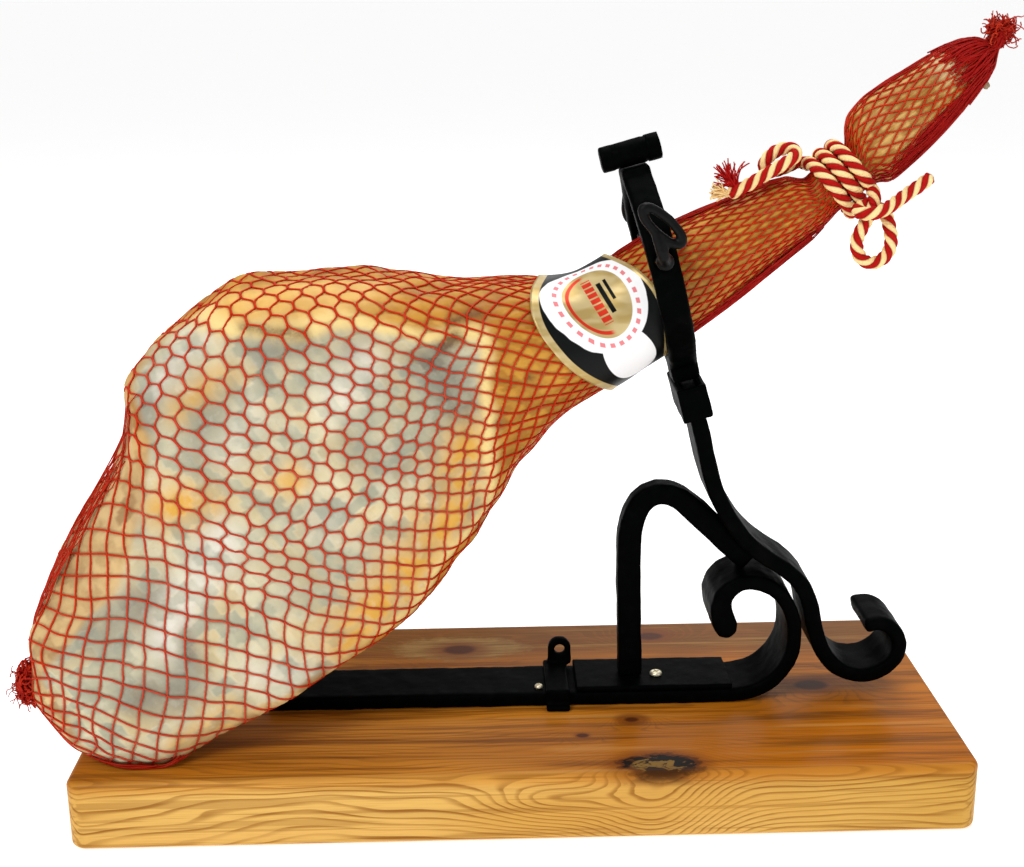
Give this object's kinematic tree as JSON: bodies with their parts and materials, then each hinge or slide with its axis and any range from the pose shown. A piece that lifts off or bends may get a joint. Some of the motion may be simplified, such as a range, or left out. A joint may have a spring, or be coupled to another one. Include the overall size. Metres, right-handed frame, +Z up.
{
  "type": "cured ham in its stand",
  "caption": "Whole bone-in cured ham in a red net, clamped by the shank in a wrought-iron stand on a pine board, with a rope round the hock.",
  "frame": {"origin": "middle of the board's underside, on the surface that the stand rests on", "axes": "+X along the board and the ham towards the hock, +Y towards the ham's skin side, +Z up"},
  "size_m": [0.5303, 0.2, 0.42],
  "materials": {
    "pine": "glossy lacquered knotty pine",
    "iron": "black semi-gloss paint over hammered wrought iron",
    "screw": "dull brass-plated screw heads",
    "ham": "dry amber fat and skin with a grey-green and white bloom on the lean side, under a red net",
    "net": "thin red knitted net threads",
    "label": "glossy printed band with plain black, white and gold fields",
    "rope": "twisted cord of red and cream strands"
  },
  "bodies": {
    "stand": {"board": "pine", "base_bar": "iron", "foot_plate": "iron", "strap_clip": "iron", "brace_bar": "iron", "post_bar": "iron", "socket_sleeve": "iron", "head_yoke": "iron", "head_barrel": "iron", "barrel_cap_left": "iron", "barrel_cap_right": "iron", "wood_screw_right": "screw", "wood_screw_left": "screw", "ham_in_net": "ham", "label_band": "label", "rope_end": "rope", "rope_hitch": "rope", "rope_coil": "rope", "rope_knot": "rope", "rope_loop": "rope", "rope_tail": "rope"},
    "screw_front": {"clamp_screw_front": "iron"},
    "screw_back": {"clamp_screw_back": "iron"}
  },
  "joints": [
    {"name": "clamp_screw_front_turn", "type": "hinge", "parent": "stand", "child": "screw_front", "pos_m": [0.07605, -0.04, 0.31202], "axis": [0, -1, 0], "continuous": true},
    {"name": "clamp_screw_back_turn", "type": "hinge", "parent": "stand", "child": "screw_back", "pos_m": [0.07605, 0.04, 0.31202], "axis": [0, 1, 0], "continuous": true}
  ]
}
